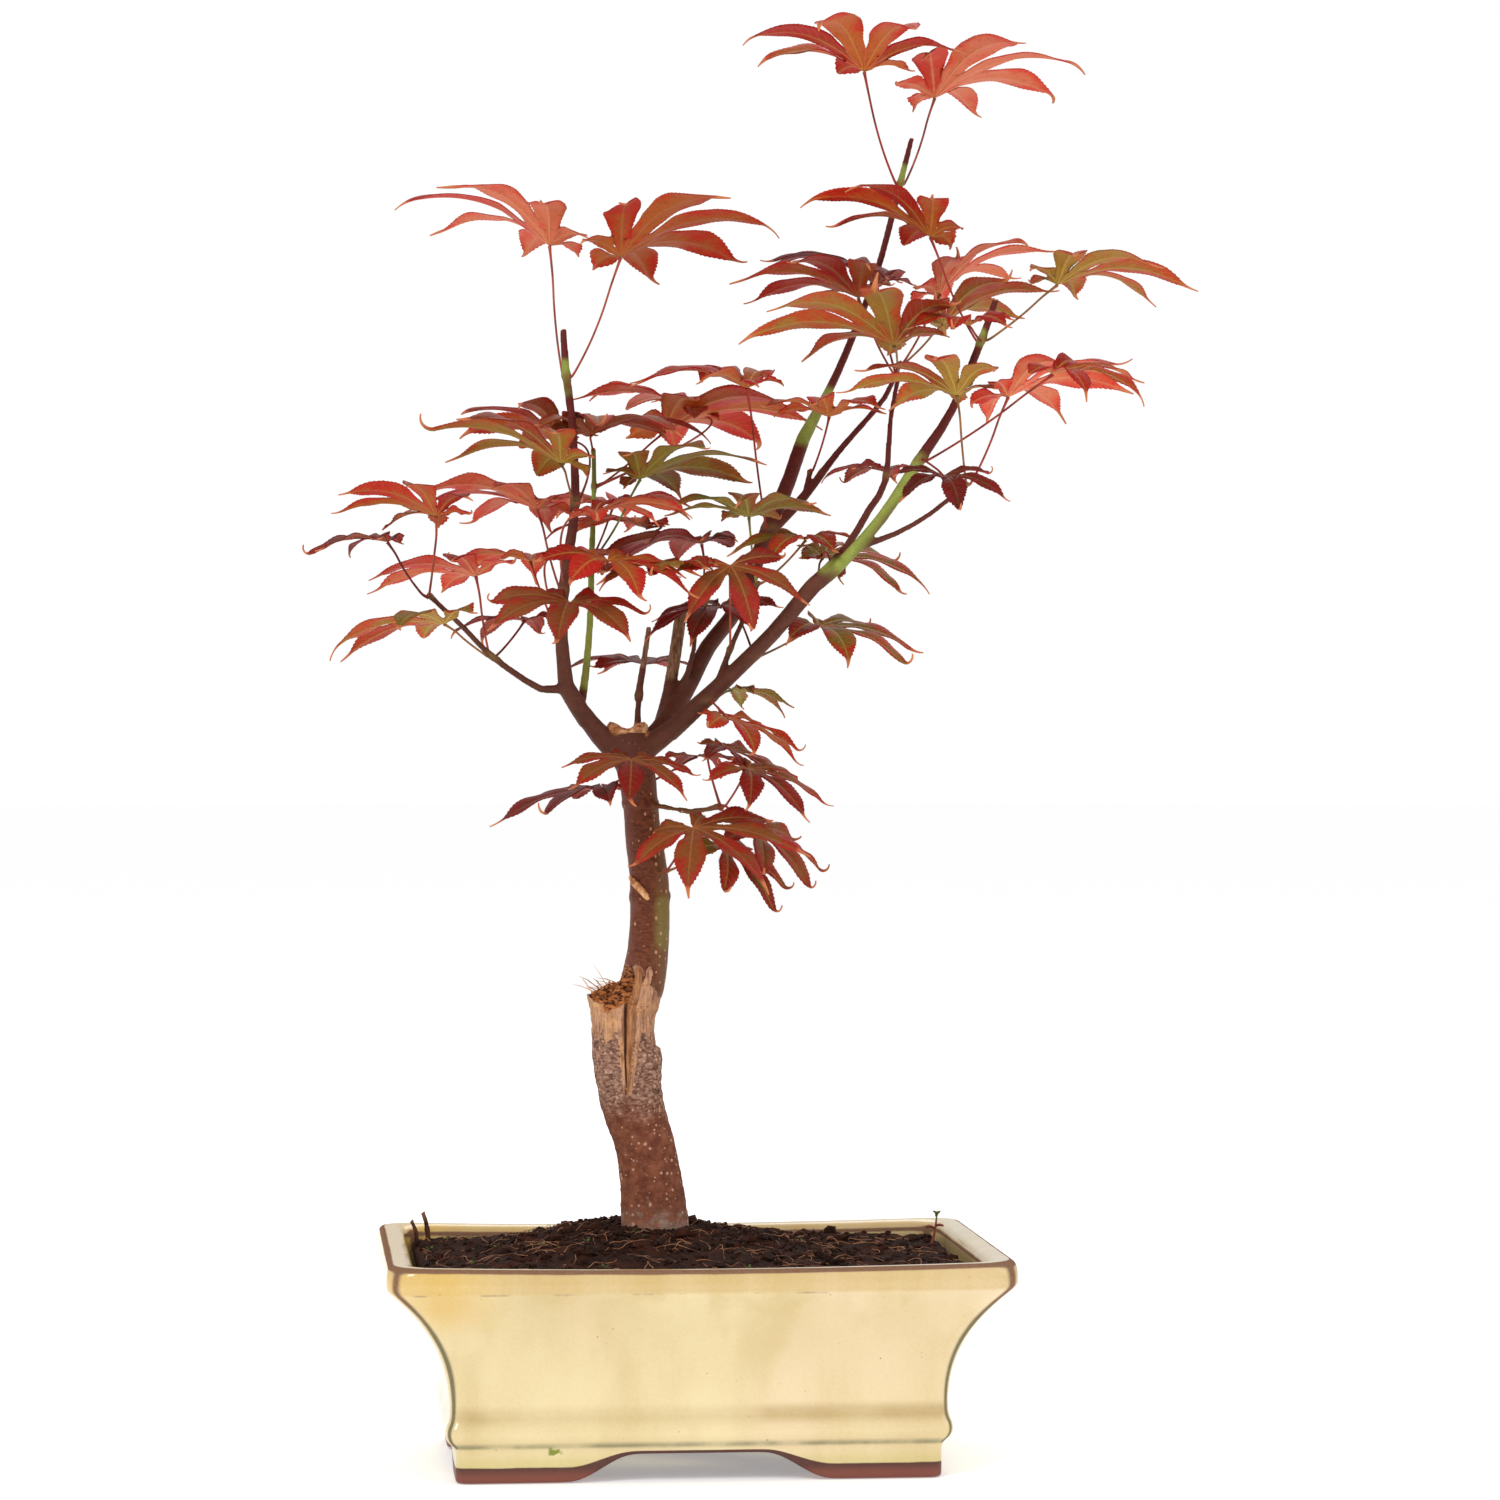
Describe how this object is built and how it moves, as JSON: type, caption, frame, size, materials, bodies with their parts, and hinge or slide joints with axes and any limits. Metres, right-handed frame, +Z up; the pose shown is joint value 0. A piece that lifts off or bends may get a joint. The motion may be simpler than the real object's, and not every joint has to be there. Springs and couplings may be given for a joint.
{
  "type": "maple bonsai tree in a pot",
  "caption": "Maple bonsai with red palmate leaves on upright shoots above a cut-back trunk, growing in soil in a cream glazed rectangular pot on bracket feet.",
  "frame": {"origin": "bottom centre of the whole object's bounding box, on the surface the pot stands on", "axes": "+Z up the tree, +X along the pot's long side to the viewer's right, +Y to the back"},
  "size_m": [0.3013, 0.1745, 0.4968],
  "materials": {
    "glazed_ceramic": "cream glaze pooling to ochre, bare clay at the feet",
    "soil": "loose dark peat mix",
    "bark": "grey-tan to red-brown bark",
    "leaf": "satin",
    "screen": "matt",
    "wire": "dull",
    "dead_stick": "weathered",
    "seedling": "satin"
  },
  "bodies": {
    "root": {"pot": "glazed_ceramic", "soil": "soil", "wood": "bark", "drain_screen_left": "screen", "drain_screen_right": "screen", "screen_clip_left": "wire", "screen_clip_right": "wire", "dead_stick_long": "dead_stick", "dead_stick_short": "dead_stick", "weed_seedling": "seedling", "leaf_crown_1": "leaf", "leaf_crown_2": "leaf", "leaf_left_top_1": "leaf", "leaf_left_top_2": "leaf", "leaf_left_mid_1": "leaf", "leaf_left_low_1": "leaf", "leaf_left_base_2": "leaf", "leaf_left_base_1": "leaf", "leaf_far_left_1": "leaf", "leaf_far_left_2": "leaf", "leaf_near_left_1": "leaf", "leaf_near_left_2": "leaf", "leaf_near_left_3": "leaf", "leaf_green_tip_1": "leaf", "leaf_green_low_3": "leaf", "leaf_green_low_1": "leaf", "leaf_green_low_2": "leaf", "leaf_green_high_1": "leaf", "leaf_dead_knot_1": "leaf", "leaf_middle_1": "leaf", "leaf_inner_1": "leaf", "leaf_spur_1": "leaf", "leaf_side_tip_1": "leaf", "leaf_side_tip_2": "leaf", "leaf_dark_tip_1": "leaf", "leaf_dark_tip_2": "leaf", "leaf_dark_tip_3": "leaf", "leaf_right_bend_2": "leaf", "leaf_dark_mid_1": "leaf", "leaf_right_top_1": "leaf", "leaf_right_top_2": "leaf", "leaf_right_top_3": "leaf", "leaf_right_low_1": "leaf", "leaf_right_low_2": "leaf", "leaf_right_bend_1": "leaf", "leaf_elbow_1": "leaf", "leaf_right_arm_1": "leaf", "leaf_right_fork_1": "leaf", "leaf_right_fork_2": "leaf", "leaf_twig_mid_1": "leaf", "leaf_twig_tip_1": "leaf", "leaf_twig_tip_2": "leaf", "leaf_leader_1": "leaf", "leaf_leader_2": "leaf", "leaf_leader_3": "leaf", "leaf_front_1": "leaf", "leaf_front_2": "leaf", "leaf_low_1": "leaf", "leaf_low_2": "leaf"}
  },
  "joints": []
}
